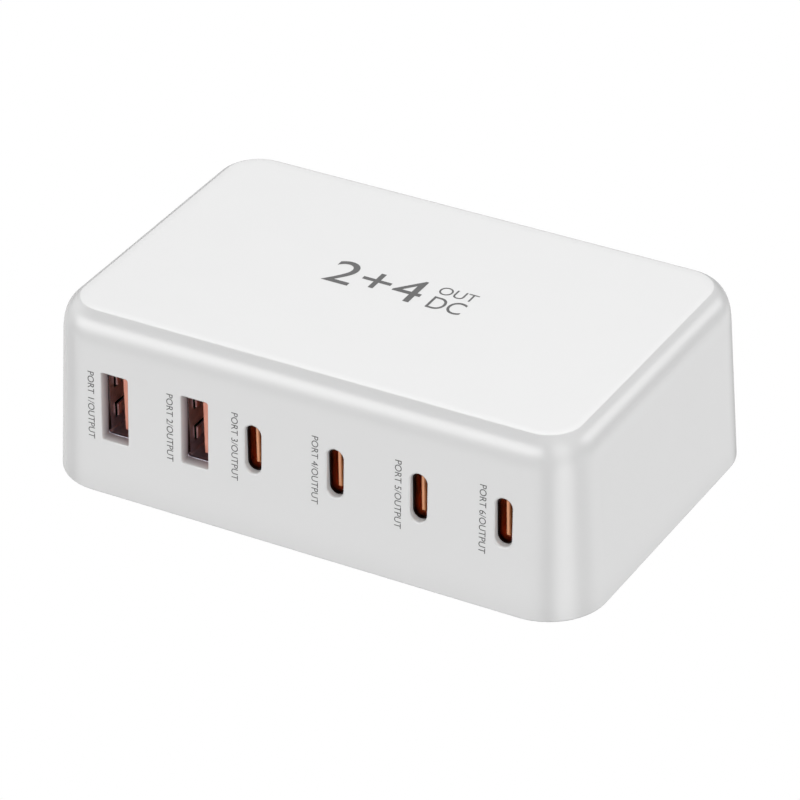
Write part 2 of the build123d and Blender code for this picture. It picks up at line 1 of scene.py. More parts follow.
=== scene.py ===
# %% [markdown]
# A white desktop charger: one moulded block with a row of sockets on its front. The solids come from the
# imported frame, in metres, with +X along the row, the sockets facing -Y and +Z up. This script gives each of
# them its finish, prints plain markings, and sets up the studio and the camera.

# %% load the frame
import json
from math import cos, radians, sin, tan

import bmesh
import bpy
import numpy as np
from mathutils import Matrix, Vector


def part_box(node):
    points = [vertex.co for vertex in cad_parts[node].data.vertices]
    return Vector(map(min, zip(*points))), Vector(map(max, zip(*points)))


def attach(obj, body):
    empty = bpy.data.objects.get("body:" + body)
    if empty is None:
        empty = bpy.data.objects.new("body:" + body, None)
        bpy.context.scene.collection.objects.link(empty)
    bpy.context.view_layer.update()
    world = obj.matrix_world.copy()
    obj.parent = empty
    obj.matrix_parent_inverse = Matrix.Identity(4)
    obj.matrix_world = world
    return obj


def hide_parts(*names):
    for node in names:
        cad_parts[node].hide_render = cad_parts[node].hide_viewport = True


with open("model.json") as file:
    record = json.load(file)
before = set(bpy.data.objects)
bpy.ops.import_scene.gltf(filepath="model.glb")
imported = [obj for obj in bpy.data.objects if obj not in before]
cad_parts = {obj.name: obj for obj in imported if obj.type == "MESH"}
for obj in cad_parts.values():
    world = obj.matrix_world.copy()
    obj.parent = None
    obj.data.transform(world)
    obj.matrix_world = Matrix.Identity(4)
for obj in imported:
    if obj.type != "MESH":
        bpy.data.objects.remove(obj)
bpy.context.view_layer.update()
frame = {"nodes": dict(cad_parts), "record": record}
nodes = frame["nodes"]
MM = 0.001
for packed in list(bpy.data.materials):
    bpy.data.materials.remove(packed)

# %% [markdown]
# The camera comes first, because everything that follows is judged through it. A long lens stands well
# back, to the right of the sockets and above them. Its place is given as an azimuth and an elevation round
# a point near the middle of the block, with a slight roll.

# %% camera
view_azimuth, view_elevation, view_roll = radians(29.778), radians(31.707), radians(-0.96)
view_distance = 787.8 * MM
view_target = Vector((2.233, -3.457, 14.675)) * MM
sensor_width, focal_length, nearest = 36.0, 210.3, 0.05


def direction_of(azimuth, elevation):
    """Unit vector at an azimuth, from the front towards the right, and an elevation, both in radians."""
    return Vector((sin(azimuth) * cos(elevation), -cos(azimuth) * cos(elevation), sin(elevation)))


def shown(name, data):
    """Object at the origin that shows this data, linked to the scene."""
    thing = bpy.data.objects.new(name, data)
    bpy.context.scene.collection.objects.link(thing)
    return thing


backward = direction_of(view_azimuth, view_elevation)
level = Vector((cos(view_azimuth), sin(view_azimuth), 0))
upright = backward.cross(level)
right = level * cos(view_roll) + upright * sin(view_roll)
up = upright * cos(view_roll) - level * sin(view_roll)
place = view_target + view_distance * backward

camera_data = bpy.data.cameras.new("studio_camera")
camera_data.sensor_fit = "HORIZONTAL"
camera_data.sensor_width = sensor_width
camera_data.lens = focal_length
camera_data.clip_start = nearest
camera = shown("studio_camera", camera_data)
camera.matrix_world = Matrix((
    (right.x, up.x, backward.x, place.x),
    (right.y, up.y, backward.y, place.y),
    (right.z, up.z, backward.z, place.z),
    (0, 0, 0, 1),
))
bpy.context.scene.camera = camera
print("camera at", [round(v, 3) for v in place])

# %% [markdown]
# Materials are written as sums. A Wire holds one socket of a node tree, and adding, subtracting or
# multiplying wires places the Math nodes that do the same sum in the shader. One method makes any other
# node: its settings are set first, then its sockets get values or links.


# %% shader wires
class Wire:
    """One output socket in a shader tree, with arithmetic."""

    def __init__(self, tree, socket):
        self.tree = tree
        self.socket = socket

    def node(self, kind, settings=None, sockets=None, out=0):
        """Adds a node of this kind, with its settings and its sockets' values or links, and returns one of
        its outputs."""
        made = self.tree.nodes.new(kind)
        for key, value in (settings or {}).items():
            setattr(made, key, value)
        for key, value in (sockets or {}).items():
            if isinstance(value, Wire):
                self.tree.links.new(value.socket, made.inputs[key])
            else:
                made.inputs[key].default_value = value
        return Wire(self.tree, made.outputs[out])

    def math(self, operation, *values):
        return self.node("ShaderNodeMath", {"operation": operation}, dict(enumerate(values)))

    def __add__(self, other):
        return self.math("ADD", self, other)

    def __radd__(self, other):
        return self.math("ADD", other, self)

    def __sub__(self, other):
        return self.math("SUBTRACT", self, other)

    def __rsub__(self, other):
        return self.math("SUBTRACT", other, self)

    def __mul__(self, other):
        return self.math("MULTIPLY", self, other)

    def __rmul__(self, other):
        return self.math("MULTIPLY", other, self)

    def apply(self, operation):
        """A sum on this value alone, such as its sine."""
        return self.math(operation, self)

    def above(self, edge):
        """1 where the value is over the edge, 0 elsewhere."""
        return self.math("GREATER_THAN", self, edge)

    def along(self, direction):
        """How far a position or direction reaches along a fixed direction."""
        settings = {"operation": "DOT_PRODUCT"}
        return self.node("ShaderNodeVectorMath", settings, {0: self, 1: tuple(direction)}, 1)

    def noise(self, size, detail=2.0, stretch=(1, 1, 1)):
        """Cloudy noise from 0 to 1 on a position, with features of this size in metres."""
        spread = self.node("ShaderNodeVectorMath", {"operation": "MULTIPLY"}, {0: self, 1: stretch})
        sockets = {"Vector": spread, "Scale": 1 / size, "Detail": detail}
        return self.node("ShaderNodeTexNoise", None, sockets)

    def ramp(self, start, end):
        """Rises evenly from 0 at the start to 1 at the end, and stays level beyond both."""
        return self.node("ShaderNodeMapRange", None, {"Value": self, "From Min": start, "From Max": end})

    def axes(self):
        """The three numbers of a position."""
        split = self.node("ShaderNodeSeparateXYZ", None, {0: self})
        outs = split.socket.node.outputs
        return [Wire(self.tree, outs[k]) for k in range(3)]

    def blend(self, low, high):
        """Colour that goes from low to high as this value goes from 0 to 1."""
        return self.node("ShaderNodeMix", {"data_type": "RGBA"}, {0: self, 6: low, 7: high}, 2)


def finish(name, paint, **fixed):
    """Makes a material. paint(position) returns the sockets that change over the surface, with the height
    of its relief in metres under Bump, and fixed gives the rest as plain values."""
    material = bpy.data.materials.new(name)
    material.use_nodes = True
    tree = material.node_tree
    shader = tree.nodes["Principled BSDF"]
    for key, value in fixed.items():
        shader.inputs[key.replace("_", " ")].default_value = value
    position = Wire(tree, tree.nodes.new("ShaderNodeTexCoord").outputs["Object"])
    made = paint(position)
    relief = made.pop("Bump", None)
    if relief is not None:
        bump = {"Height": relief, "Distance": 1.0, "Strength": 1.0}
        made["Normal"] = position.node("ShaderNodeBump", None, bump)
    for key, value in made.items():
        tree.links.new(value.socket, shader.inputs[key])
    return material


def grey(value):
    """Colour with three equal parts."""
    return (value, value, value, 1.0)


print("shader wires ready")

# %% [markdown]
# The housing is a satin white moulding. Real mouldings are never one flat white: the resin clouds by a
# percent or two, and the spark-eroded tool leaves a fine grain that spreads the gloss. Near the foot the
# white carries a few percent of painted shade. The walls of the two large cut-outs and of the inlet's
# opening are painted grey with their depth, as painted shade read from an attribute of the mesh.

# %% white plastics
SHELL_WHITE, CLOUD_SPAN, FOOT_PAINTED_SHADE = 0.78, 0.016, 0.06
RECESS_PAINTED_SHADE = (0.30, 0.255, 0.275, 1)
foot_shade_top, foot_shade_full = 7 * MM, 1 * MM


def paint_shell(p):
    cloud = p.noise(9 * MM, 3.0)
    grain = p.noise(0.16 * MM, 2.0)
    # Painted shade: the white is darkened by a few percent towards the foot, where the block stands on the
    # floor.
    foot = p.along((0, 0, 1)).ramp(foot_shade_top, foot_shade_full)
    white = (cloud * CLOUD_SPAN + (SHELL_WHITE - CLOUD_SPAN / 2)) * (1.0 - FOOT_PAINTED_SHADE * foot * foot)
    # Painted shade: the walls of the openings go grey with their depth in the wall.
    painted_recess_shade = p.node("ShaderNodeAttribute", {"attribute_name": "painted_recess_shade"}, None, "Fac")
    return {
        "Base Color": painted_recess_shade.blend(white, RECESS_PAINTED_SHADE),
        "Roughness": 0.20 + 0.05 * grain + 0.02 * cloud,
        "Bump": 0.0000008 * grain,
    }


def paint_cover(p):
    grain = p.noise(0.3 * MM, 3.0)
    cloud = p.noise(12 * MM, 2.0)
    return {
        "Base Color": cloud.blend(grey(0.74), grey(0.77)),
        "Roughness": 0.48 + 0.12 * grain,
        "Bump": 0.000008 * grain,
    }


white_shell = finish("white_shell", paint_shell, IOR=1.5, Specular_IOR_Level=1.0)
white_cover = finish("white_cover", paint_cover, IOR=1.47)
print("white plastics", white_shell.name, white_cover.name)

# %% [markdown]
# The housing is one moulding, and its skin, inside and out, is one profile carried round a rounded
# rectangle. Every point of the profile is an inset from the base outline and a height, and an inset outline
# is the same rectangle with smaller corners, so one product of two arrays makes the surface. On the real
# block the wall does not run into the shoulder with a plain arc: the bend comes in slowly, and the
# highlight fades with it. The shoulder is therefore worked out from its curvature, which grows from nothing
# to its full value. It ends in a tight rim, and inside the rim the top still rises by a few hundredths of a
# millimetre before it lies flat, so that its edge catches the light.

# %% housing sizes
half_length, half_depth, corner_radius = 51.5, 33.7, 10.6
base_z, top_z, draft_degrees = 0.8, 33.8, 3.2
lean = tan(radians(draft_degrees))
wall, skirt, cover_seat = 2.2, 1.2, 2.0
wall_run = wall / cos(radians(draft_degrees))
foot_radius, ceiling_z, ceiling_radius = 0.3, 31.6, 4.2
line_inset, rim_radius, roll_width = 4.58, 0.35, 1.4
line_degrees, roll_degrees = 23, 5
line_tilt, roll_tilt = radians(line_degrees), radians(roll_degrees)
rim_setback = rim_radius * tan((line_tilt - roll_tilt) / 2)
line_z = top_z - roll_width * tan(roll_tilt) / 2 - rim_setback * sin(roll_tilt)
wall_rows, foot_points, rim_points, roll_points, ceiling_points = 12, 5, 6, 9, 8
print("crisp line", round(line_inset, 2), "in from the base edge, at height", round(line_z, 2))

# %% [markdown]
# The cut-outs follow the sleeves of the frame, from left to right. The wall laps a little over the edges of
# a folded sleeve, and leaves a narrow space round a drawn one.

# %% socket places
socket_names = ("a2", "a1", "c4", "c3", "c2", "c1")
type_a_count = 2
sleeves = [np.array(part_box("port_" + socket + "_sleeve")) / MM for socket in socket_names]
socket_x = np.array([sleeve.mean(0)[0] for sleeve in sleeves])
socket_z = sleeves[0].mean(0)[2]
type_a_lap, type_c_space = 0.26, 0.06
type_a_size = np.ptp(sleeves[0], axis=0) - 2 * type_a_lap
type_c_size = np.ptp(sleeves[-1], axis=0) + 2 * type_c_space
type_a_corner, type_a_lip, type_c_lip = 0.4, 0.25, 0.4
inlet_wide, inlet_tall, inlet_corner = 19.1, 11.3, 3.15
inlet_z, inlet_lip = 14.1, 0.25
print("sockets at", np.round(socket_x, 2), "and height", round(socket_z, 2))


# %% housing profile
def shoulder_curve(steps, ramp):
    """Inset and height along the shoulder, from the wall to the crisp line round the top. The tilt of the
    surface is the running sum of a curvature that rises evenly over the share ramp of the length and then
    stays. The inset and height are the running sums of the cosine and sine of the tilt, and the curve is
    then scaled so that it ends on the crisp line."""
    s = np.linspace(0, 1, steps)
    bend = np.where(s < ramp, s * s / (2 * ramp), s - ramp / 2) / (1 - ramp / 2)
    wall_tilt = radians(90 - draft_degrees)
    tilt = wall_tilt + (line_tilt - wall_tilt) * bend
    step = 1 / (steps - 1)
    middle = (tilt[1:] + tilt[:-1]) / 2
    inset = np.concatenate([[0], np.cumsum(np.cos(middle)) * step])
    rise = np.concatenate([[0], np.cumsum(np.sin(middle)) * step])
    scale = (line_inset - (line_z - base_z) * lean) / (inset[-1] - rise[-1] * lean)
    height = line_z + scale * (rise - rise[-1])
    return line_inset + scale * (inset - inset[-1]), height


def arc(centre, radius, first, last, steps):
    """Points on a circle in the plane of inset and height, tilt measured from upright."""
    tilt = np.radians(np.linspace(first, last, steps))
    return centre[0] - radius * np.sin(tilt), centre[1] + radius * np.cos(tilt)


shoulder_steps, shoulder_ramp, keep_every = 160, 0.95, 6
shoulder_inset, shoulder_height = shoulder_curve(shoulder_steps, shoulder_ramp)
below_rim = shoulder_height < line_z - rim_setback * sin(line_tilt)
shoulder_inset = shoulder_inset[below_rim][::keep_every]
shoulder_height = shoulder_height[below_rim][::keep_every]
wall_top = shoulder_height[0]
wall_foot_z = base_z + foot_radius
rim_centre = (
    line_inset - rim_setback * cos(line_tilt) + rim_radius * sin(line_tilt),
    line_z - rim_setback * sin(line_tilt) - rim_radius * cos(line_tilt),
)
rim = arc(rim_centre, rim_radius, line_degrees, roll_degrees, rim_points)
roll = np.linspace(0, 1, roll_points)[1:]
roll_inset = rim[0][-1] + roll_width * roll
roll_height = top_z - roll_width * tan(roll_tilt) / 2 * (1 - roll) ** 2
foot_centre = (foot_radius + foot_radius * lean, wall_foot_z)
foot_edge = arc(foot_centre, foot_radius, 180, 90, foot_points)
wall_z = np.linspace(wall_foot_z, wall_top, wall_rows + 1)
inner_z = np.linspace(base_z + cover_seat, wall_top, wall_rows + 1)
inner_wall_inset = wall_run + (inner_z - base_z) * lean
ceiling_centre = (inner_wall_inset[-1] + ceiling_radius, ceiling_z - ceiling_radius)
ceiling = arc(ceiling_centre, ceiling_radius, 90, 0, ceiling_points)
profile_inset = np.concatenate([
    ceiling[0][::-1], inner_wall_inset[::-1], [skirt, skirt],
    foot_edge[0][:-1], (wall_z - base_z) * lean, shoulder_inset[1:], rim[0], roll_inset,
])
profile_height = np.concatenate([
    ceiling[1][::-1], inner_z[::-1], [base_z + cover_seat, base_z],
    foot_edge[1][:-1], wall_z, shoulder_height[1:], rim[1], roll_height,
])
inner_start = len(ceiling[0])
outer_start = inner_start + wall_rows + 1 + 2 + len(foot_edge[0]) - 1
print("profile of", len(profile_inset), "points, wall ends at", round(float(wall_top), 2))

# %% [markdown]
# The base outline is walked once round. The straight runs at the front and the back are divided where the
# panels with the cut-outs are divided, so that sweep and panels share their edges.

# %% housing outline
run_x, run_y = half_length - corner_radius, half_depth - corner_radius
cell_edges = np.concatenate([[-run_x], (socket_x[1:] + socket_x[:-1]) / 2, [run_x]])
cell_steps, rear_steps, side_steps, corner_steps = 8, 16, 12, 20
cells = zip(cell_edges, cell_edges[1:])
front_x = np.concatenate([np.linspace(left, right, cell_steps, endpoint=False) for left, right in cells])
rear_x = np.linspace(run_x, -run_x, rear_steps, endpoint=False)
side_y = np.linspace(-run_y, run_y, side_steps, endpoint=False)


def outline_corner(x, y, first):
    """A quarter turn about a corner's centre: the centre's place and the outward direction at each step."""
    turn = np.radians(first + np.linspace(0, 90, corner_steps, endpoint=False))
    return np.full(corner_steps, x), np.full(corner_steps, y), np.cos(turn), np.sin(turn)


def outline_run(x, y, out_x, out_y):
    """A straight run, given by the line of its corner centres and one outward direction."""
    ones = np.ones(np.broadcast(x, y).shape)
    return x * ones, y * ones, out_x * ones, out_y * ones


outline = np.concatenate([np.array(part) for part in (
    outline_run(front_x, -run_y, 0, -1),
    outline_corner(run_x, -run_y, -90),
    outline_run(run_x, side_y, 1, 0),
    outline_corner(run_x, run_y, 0),
    outline_run(rear_x, run_y, 0, 1),
    outline_corner(-run_x, run_y, 90),
    outline_run(-run_x, -side_y, -1, 0),
    outline_corner(-run_x, -run_y, 180),
)], axis=1)
print("outline of", outline.shape[1], "points")


# %% housing sweep
def ring_quads(rows, count):
    """Faces of a grid of closed loops: a point, the next one round its loop, and the two ahead of them in
    the next loop. Point c of loop r has the number r * count + c."""
    r, c = np.indices((rows - 1, count))
    beside = (c + 1) % count
    here, ahead = r * count, (r + 1) * count
    return np.stack([here + c, here + beside, ahead + beside, ahead + c], axis=2)


count, rows = outline.shape[1], len(profile_inset)
spread = corner_radius - profile_inset[:, None]
sweep = np.stack([
    outline[0] + outline[2] * spread,
    outline[1] + outline[3] * spread,
    np.broadcast_to(profile_height[:, None], (rows, count)),
], axis=2)
row, column = np.indices((rows - 1, count))
rear_first = len(front_x) + 2 * corner_steps + len(side_y)
panel_column = (column < len(front_x)) | ((column >= rear_first) & (column < rear_first + rear_steps))
inner_row = (row >= inner_start) & (row < inner_start + wall_rows)
outer_row = (row >= outer_start) & (row < outer_start + wall_rows)
open_wall = panel_column & (inner_row | outer_row)
sweep_quads = ring_quads(rows, count)[~open_wall]
print("sweep of", len(sweep_quads), "faces, without its two panels")

# %% [markdown]
# Each cut-out lies in a panel of flat wall. A loop of points round the cut-out is matched, point for point,
# with a loop round the edge of its cell, and the rows between them are the surface: flat wall, a rounded
# lip, the wall of the opening, and the flat inside.


# %% housing loops
TOGETHER = 1e-6


def opening_loop(wide, tall, radius, arc_steps, across_steps, down_steps):
    """Rounded rectangle as steps in x and z, clockwise from the middle of its upper right arc. Each corner
    is a quarter circle about its centre, and the straight run after it is evenly divided. Points that fall
    together, as where a side has no straight run, are taken once."""
    half_w, half_t = wide / 2 - radius, tall / 2 - radius
    corners = (
        (half_w, half_t, 90, (0, -2 * half_t), down_steps),
        (half_w, -half_t, 0, (-2 * half_w, 0), across_steps),
        (-half_w, -half_t, -90, (0, 2 * half_t), down_steps),
        (-half_w, half_t, 180, (2 * half_w, 0), across_steps),
    )
    turn = np.radians(np.linspace(0, 90, arc_steps + 1))
    points = []
    for x, z, start, after, run in corners:
        angle = radians(start) - turn
        points.append(np.stack([x + radius * np.cos(angle), z + radius * np.sin(angle)], axis=1))
        if run > 1:
            points.append(points[-1][-1] + np.linspace(0, 1, run + 1)[1:-1, None] * np.array(after))
    whole = np.concatenate(points)
    apart = np.linalg.norm(np.roll(whole, -1, axis=0) - whole, axis=1) > TOGETHER
    return np.roll(whole[apart], -(arc_steps // 2), axis=0)


def cell_loop(left, right, low, high, across, down):
    """Rectangle as points from its upper right corner, clockwise round, each side evenly divided."""
    x, z = np.linspace(right, left, across + 1), np.linspace(high, low, down + 1)
    sides = (
        np.stack([np.full(down, right), z[:-1]], axis=1),
        np.stack([x[:-1], np.full(across, low)], axis=1),
        np.stack([np.full(down, left), z[::-1][:-1]], axis=1),
        np.stack([x[::-1][:-1], np.full(across, high)], axis=1),
    )
    return np.concatenate(sides)


def outward(loop):
    """Direction away from the middle at each point of a clockwise loop, square to the line between its
    neighbours."""
    around = np.roll(loop, -1, axis=0) - np.roll(loop, 1, axis=0)
    return np.stack([-around[:, 1], around[:, 0]], axis=1) / np.linalg.norm(around, axis=1)[:, None]


print("loops ready")


# %% housing panels
lip_points = 6


def panel(hole, centre, edges, across, front, lip_radius):
    """Surface from the cell's outer edge over the rounded lip and through the wall to the inner edge. Rows
    are loops in x and z. Their y is the leaning wall plus a depth. The lip's rows swell the hole by
    r - r * sin(t) and sink by r - r * cos(t)."""
    outer = cell_loop(edges[0], edges[1], wall_z[0], wall_z[-1], across, wall_rows)
    inner = cell_loop(edges[0], edges[1], inner_z[0], inner_z[-1], across, wall_rows)
    out = outward(hole)
    loops, depths = [outer], [0.0]
    for t in np.radians(np.linspace(0, 90, lip_points)):
        loops.append(centre + hole + out * lip_radius * (1 - sin(t)))
        depths.append(lip_radius * (1 - cos(t)))
    loops += [centre + hole, inner]
    depths += [wall_run, wall_run]
    flat, depth = np.array(loops), np.array(depths)[:, None]
    y = (flat[:, :, 1] - base_z) * lean - half_depth + depth
    points = np.stack([flat[:, :, 0], y if front else -y, flat[:, :, 1]], axis=2)
    return points.reshape(-1, 3), ring_quads(len(flat), len(hole)).reshape(-1, 4)


# A hole's loop has as many points as its cell's edge has steps
type_a_hole = opening_loop(
    type_a_size[0], type_a_size[2], type_a_corner, arc_steps=6, across_steps=2, down_steps=6,
)
type_c_hole = opening_loop(
    type_c_size[0], type_c_size[2], type_c_size[0] / 2, arc_steps=8, across_steps=0, down_steps=4,
)
inlet_hole = opening_loop(
    inlet_wide, inlet_tall, inlet_corner, arc_steps=6, across_steps=10, down_steps=6,
)
panels = []
for k, x in enumerate(socket_x):
    hole, lip_radius = (type_a_hole, type_a_lip) if k < type_a_count else (type_c_hole, type_c_lip)
    panels.append(panel(hole, (x, socket_z), cell_edges[k:k + 2], cell_steps, True, lip_radius))
panels.append(panel(inlet_hole, (0, inlet_z), (-run_x, run_x), rear_steps, False, inlet_lip))
print("panels with", [len(points) for points, quads in panels], "points")

# %% [markdown]
# Sweep, top, ceiling and panels are put into one mesh, and points that lie together are merged. Round the
# two large cut-outs and the inlet's opening each point gets its depth in the wall as an attribute, from 0
# to 1, which the white finish reads as painted shade: the walls of the openings are painted grey with
# their depth. Elsewhere it is 0.

# %% housing skin
merge_distance, sharp_angle = 0.002 * MM, radians(34)
points, faces = [sweep.reshape(-1, 3)], [tuple(quad) for quad in sweep_quads.tolist()]
faces.append(tuple(range((rows - 1) * count, rows * count)))
faces.append(tuple(range(count))[::-1])
for panel_points, panel_quads in panels:
    shift = sum(len(block) for block in points)
    points.append(panel_points)
    faces += [tuple(quad) for quad in (panel_quads + shift).tolist()]
skin = bpy.data.meshes.new("housing_skin")
skin.from_pydata((np.concatenate(points) * MM).tolist(), [], faces)
knit = bmesh.new()
knit.from_mesh(skin)
bmesh.ops.remove_doubles(knit, verts=knit.verts, dist=merge_distance)
bmesh.ops.recalc_face_normals(knit, faces=knit.faces)
loose = sum(not edge.is_manifold for edge in knit.edges)
knit.to_mesh(skin)
knit.free()
print("housing skin of", len(skin.polygons), "faces,", loose, "open edges")

# %% housing recess
spots = np.empty(len(skin.vertices) * 3)
skin.vertices.foreach_get("co", spots)
spots = spots.reshape(-1, 3) / MM
wall_depth = half_depth - (spots[:, 2] - base_z) * lean - np.abs(spots[:, 1])
in_panel = (np.abs(spots[:, 0]) < run_x) & (spots[:, 2] > wall_foot_z) & (spots[:, 2] < wall_top)
in_panel &= (spots[:, 0] < cell_edges[type_a_count]) | (spots[:, 1] > 0)
# Painted shade: 0 just behind the lip, rising to 1 at the full depth of the wall in these openings.
painted_recess_shade = np.where(in_panel, np.clip((wall_depth - type_a_lip) / (wall_run - type_a_lip), 0, 1), 0.0)
skin.attributes.new("painted_recess_shade", "FLOAT", "POINT").data.foreach_set("value", painted_recess_shade)
skin.shade_smooth()
skin.set_sharp_from_angle(angle=sharp_angle)
skin.materials.append(white_shell)
housing_skin = shown("housing_skin", skin)
even_light = housing_skin.modifiers.new("even_light", "WEIGHTED_NORMAL")
even_light.keep_sharp = True
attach(housing_skin, "root")
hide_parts("housing")
print(int((painted_recess_shade > 0).sum()), "points shaded as recess")

# %% [markdown]
# The sockets are small dark rooms: a plated sleeve, a moulded tongue in a warm colour, and gold contacts.
# What is seen of them is mostly the tongue and its colour thrown on the sleeve walls. The springs of a
# folded sleeve carry a painted reflection of the tongue's colour near its mouth, and the mouth itself has
# painted shade, dark but for its foot. A drawn sleeve goes from black at its mouth to a painted reflection
# of its orange tongue further in.


# %% socket finishes
a_mouth_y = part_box("port_a1_sleeve")[0].y
c_mouth_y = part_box("port_c1_sleeve")[0].y
spring_half_wide, spring_half_tall = 2.5 * MM, 5.0 * MM
spring_deep, spring_fade = 3.8 * MM, 1.6 * MM
bead_painted_shade_from = (socket_z - 5.9) * MM
c_dark_depth, c_painted_reflection_depth = 0.5 * MM, 1.7 * MM


def paint_a_sleeve(p):
    x, y, z = p.axes()
    aside = p.math("MINIMUM", *((x - middle * MM).apply("ABSOLUTE") for middle in socket_x[:type_a_count]))
    aloft = (z - socket_z * MM).apply("ABSOLUTE")
    within = (spring_half_wide - aside).above(0.0) * (spring_half_tall - aloft).above(0.0)
    fade = (a_mouth_y + spring_deep - y).ramp(0.0, spring_fade)
    # Painted reflection: near the mouth the springs take the salmon colour of the tongue.
    spring_painted_reflection = within * fade
    smear = p.noise(0.8 * MM, 3.0, (1, 0.3, 1))
    steel = smear.blend((0.64, 0.65, 0.74, 1), (0.76, 0.77, 0.86, 1))
    # Painted shade: the mouth in front of the sleeve's edge is dark, except at its foot.
    shade = (a_mouth_y - y).above(0.0) * (z - bead_painted_shade_from).above(0.0)
    return {
        "Base Color": shade.blend(spring_painted_reflection.blend(steel, (0.95, 0.58, 0.54, 1)), (0.10, 0.08, 0.08, 1)),
        "Roughness": 0.30 + 0.10 * smear + 0.2 * spring_painted_reflection,
        "Bump": 0.000001 * smear,
    }


def paint_c_sleeve(p):
    y = p.axes()[1]
    smear = p.noise(0.6 * MM, 3.0, (1, 0.3, 1))
    # Painted reflection: from black at the mouth the sleeve goes to the orange of its tongue further in.
    inward = (y - c_mouth_y).ramp(c_dark_depth, c_painted_reflection_depth)
    return {
        "Base Color": (inward * (0.85 + 0.15 * smear)).blend((0.03, 0.02, 0.02, 1), (1.0, 0.46, 0.24, 1)),
        "Roughness": 0.24 + 0.12 * smear,
        "Bump": 0.000001 * smear,
    }


def paint_salmon(p):
    flow = p.noise(1.6 * MM, 3.0, (1, 0.4, 1))
    return {
        "Base Color": flow.blend((0.97, 0.34, 0.23, 1), (1.0, 0.40, 0.28, 1)),
        "Roughness": 0.36 + 0.12 * flow,
        "Bump": 0.000004 * flow,
    }


def paint_orange(p):
    flow = p.noise(1.2 * MM, 3.0, (1, 0.4, 1))
    return {
        "Base Color": flow.blend((0.98, 0.37, 0.15, 1), (1.0, 0.45, 0.20, 1)),
        "Roughness": 0.30 + 0.15 * flow,
        "Bump": 0.000004 * flow,
    }


def paint_gold(p):
    wear = p.noise(0.5 * MM, 4.0, (1, 0.2, 1))
    return {
        "Base Color": wear.blend((0.80, 0.52, 0.18, 1), (0.93, 0.70, 0.34, 1)),
        "Roughness": 0.20 + 0.22 * wear,
    }


a_sleeve_steel = finish("a_sleeve_steel", paint_a_sleeve, Metallic=1.0)
finish("c_sleeve_steel", paint_c_sleeve, Metallic=1.0)
finish("tongue_salmon", paint_salmon, IOR=1.5, Coat_Weight=0.7, Coat_Roughness=0.25)
finish("tongue_orange", paint_orange, IOR=1.5, Coat_Weight=1.0, Coat_Roughness=0.25)
finish("contact_gold", paint_gold, Metallic=1.0)
print("socket finishes ready")

# %% [markdown]
# A folded sleeve ends in a rolled mouth that lies against the inside of the leaning wall. The wall is
# further from the sleeve at the foot of the socket than at its head, so the mouth is deeper there. It is a
# bead round the opening, as thick as the space allows, and a short collar from the bead to the sleeve's
# edge. At the foot the bead stands proud of the wall's edge and catches a thin line of light.


# %% sleeve mouths
bead_radius, bead_proud, bead_hidden, collar_inset = 0.15, 0.10, 0.03, 0.04
bead_points = 9


def sleeve_mouth(name, x, rim_y):
    """Bead of radius b round the cut-out: t from 0 to 180 degrees goes b * sin(t) inwards and
    b - b * cos(t) back from the wall. It is proud at the foot and hidden at the sides. The last row is the
    sleeve's edge."""
    out, height = outward(type_a_hole), socket_z + type_a_hole[:, 1]
    wall_y = (height - base_z) * lean - half_depth + wall_run
    bead = np.minimum(bead_radius, (rim_y - wall_y) / 2)
    turn = np.radians(np.linspace(0, 180, bead_points))[:, None]
    proud = bead_proud * np.clip(-out[:, 1], 0, 1) - bead_hidden
    inward = np.vstack([bead * np.sin(turn) + proud - bead, np.full_like(bead, collar_inset)])
    back = np.vstack([wall_y + bead - bead * np.cos(turn), np.full_like(bead, rim_y)])
    flat = type_a_hole - out * inward[:, :, None]
    spots = np.stack([x + flat[:, :, 0], back, socket_z + flat[:, :, 1]], axis=2)
    quads = ring_quads(len(back), len(bead))[:, :, [0, 3, 2, 1]].reshape(-1, 4)
    mesh = bpy.data.meshes.new(name)
    mesh.from_pydata((spots.reshape(-1, 3) * MM).tolist(), [], quads.tolist())
    mesh.shade_smooth()
    mesh.materials.append(a_sleeve_steel)
    piece = shown(name, mesh)
    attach(piece, "root")
    return piece


for socket, x, sleeve in zip(socket_names[:type_a_count], socket_x, sleeves):
    mouth = sleeve_mouth("port_" + socket + "_mouth", x, sleeve[0][1])
    print(mouth.name, "with", len(mouth.data.polygons), "faces")

# %% [markdown]
# The inlet at the back, the feet, the screws and the film under the board are plain parts with plain
# surfaces, each with the grain of how it is made: spark-eroded black plastic, nickel that draws out along
# the pin, rubber with a matt skin, zinc, and film with roller marks.


# %% outside small parts
def paint_inlet(p):
    grain = p.noise(0.25 * MM, 3.0)
    return {
        "Base Color": grain.blend(grey(0.018), grey(0.032)),
        "Roughness": 0.42 + 0.16 * grain,
        "Bump": 0.000010 * grain,
    }


def paint_nickel(p):
    drawn = p.noise(0.4 * MM, 3.0, (1, 0.08, 1))
    return {
        "Base Color": drawn.blend((0.62, 0.60, 0.56, 1), (0.80, 0.78, 0.73, 1)),
        "Roughness": 0.16 + 0.16 * drawn,
    }


def paint_rubber(p):
    skin = p.noise(0.5 * MM, 4.0)
    dust = p.noise(3 * MM, 3.0)
    return {
        "Base Color": dust.blend(grey(0.26), grey(0.34)),
        "Roughness": 0.78 + 0.15 * skin,
        "Bump": 0.00002 * skin,
    }


def paint_zinc(p):
    bloom = p.noise(0.7 * MM, 4.0)
    return {
        "Base Color": bloom.blend((0.52, 0.53, 0.54, 1), (0.68, 0.69, 0.70, 1)),
        "Roughness": 0.26 + 0.2 * bloom,
        "Bump": 0.000006 * bloom,
    }


def paint_film(p):
    roller = p.noise(2.5 * MM, 3.0, (0.1, 1, 1))
    return {
        "Base Color": roller.blend(grey(0.02), grey(0.035)),
        "Roughness": 0.40 + 0.2 * roller,
        "Bump": 0.00001 * roller,
    }


